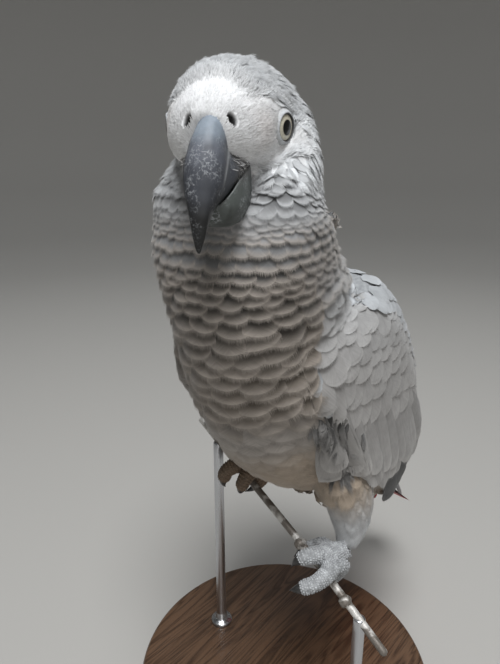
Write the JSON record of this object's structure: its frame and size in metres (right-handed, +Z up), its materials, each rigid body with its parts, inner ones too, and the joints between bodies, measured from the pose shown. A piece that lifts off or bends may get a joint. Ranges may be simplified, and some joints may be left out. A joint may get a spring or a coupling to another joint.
{
  "type": "grey parrot on perch",
  "caption": "Grey parrot with folded wings and a short red tail, its head turned to one side, gripping a wire perch on a round display stand.",
  "frame": {"origin": "centre of the bounding box at the underside of the stand's base", "axes": "+Z up, -Y the way the bird's body faces, +X to the bird's left"},
  "size_m": [0.152, 0.2106, 0.3034],
  "materials": {
    "plumage": "small overlapping ash-grey feathers with pale frayed edges, matt",
    "wing": "rounded grey coverts and long grey secondaries with darker edges, satin",
    "primaries": "long dark grey flight feathers, satin",
    "tail": "scarlet tail feathers, satin",
    "thigh": "short soft whitish-grey feathers, matt",
    "bill": "black horn with a powdery grey bloom and fine scratches",
    "eye": "pale yellow iris with a dark pupil under a clear wet cornea",
    "foot": "grey skin with small pebbly scales",
    "claw": "dark horn",
    "wire": "worn coated steel wire with bare whitish patches",
    "rod": "satin steel",
    "base": "dark stained wood under satin lacquer"
  },
  "bodies": {
    "root": {"head": "plumage", "neck": "plumage", "trunk": "plumage", "rump": "plumage", "tail": "tail", "eye_left": "eye", "eye_right": "eye", "bill_upper": "bill", "bill_lower": "bill", "wing_left_coverts": "wing", "wing_left_secondaries": "wing", "wing_left_primaries": "primaries", "thigh_left": "thigh", "foot_left": "foot", "toe_1_left": "foot", "claw_1_left": "claw", "toe_2_left": "foot", "claw_2_left": "claw", "toe_3_left": "foot", "claw_3_left": "claw", "toe_4_left": "foot", "claw_4_left": "claw", "stand_rod_left": "rod", "wing_right_coverts": "wing", "wing_right_secondaries": "wing", "wing_right_primaries": "primaries", "thigh_right": "thigh", "foot_right": "foot", "toe_1_right": "foot", "claw_1_right": "claw", "toe_2_right": "foot", "claw_2_right": "claw", "toe_3_right": "foot", "claw_3_right": "claw", "toe_4_right": "foot", "claw_4_right": "claw", "stand_rod_right": "rod", "stand_base": "base", "stand_perch_wire": "wire"}
  },
  "joints": []
}
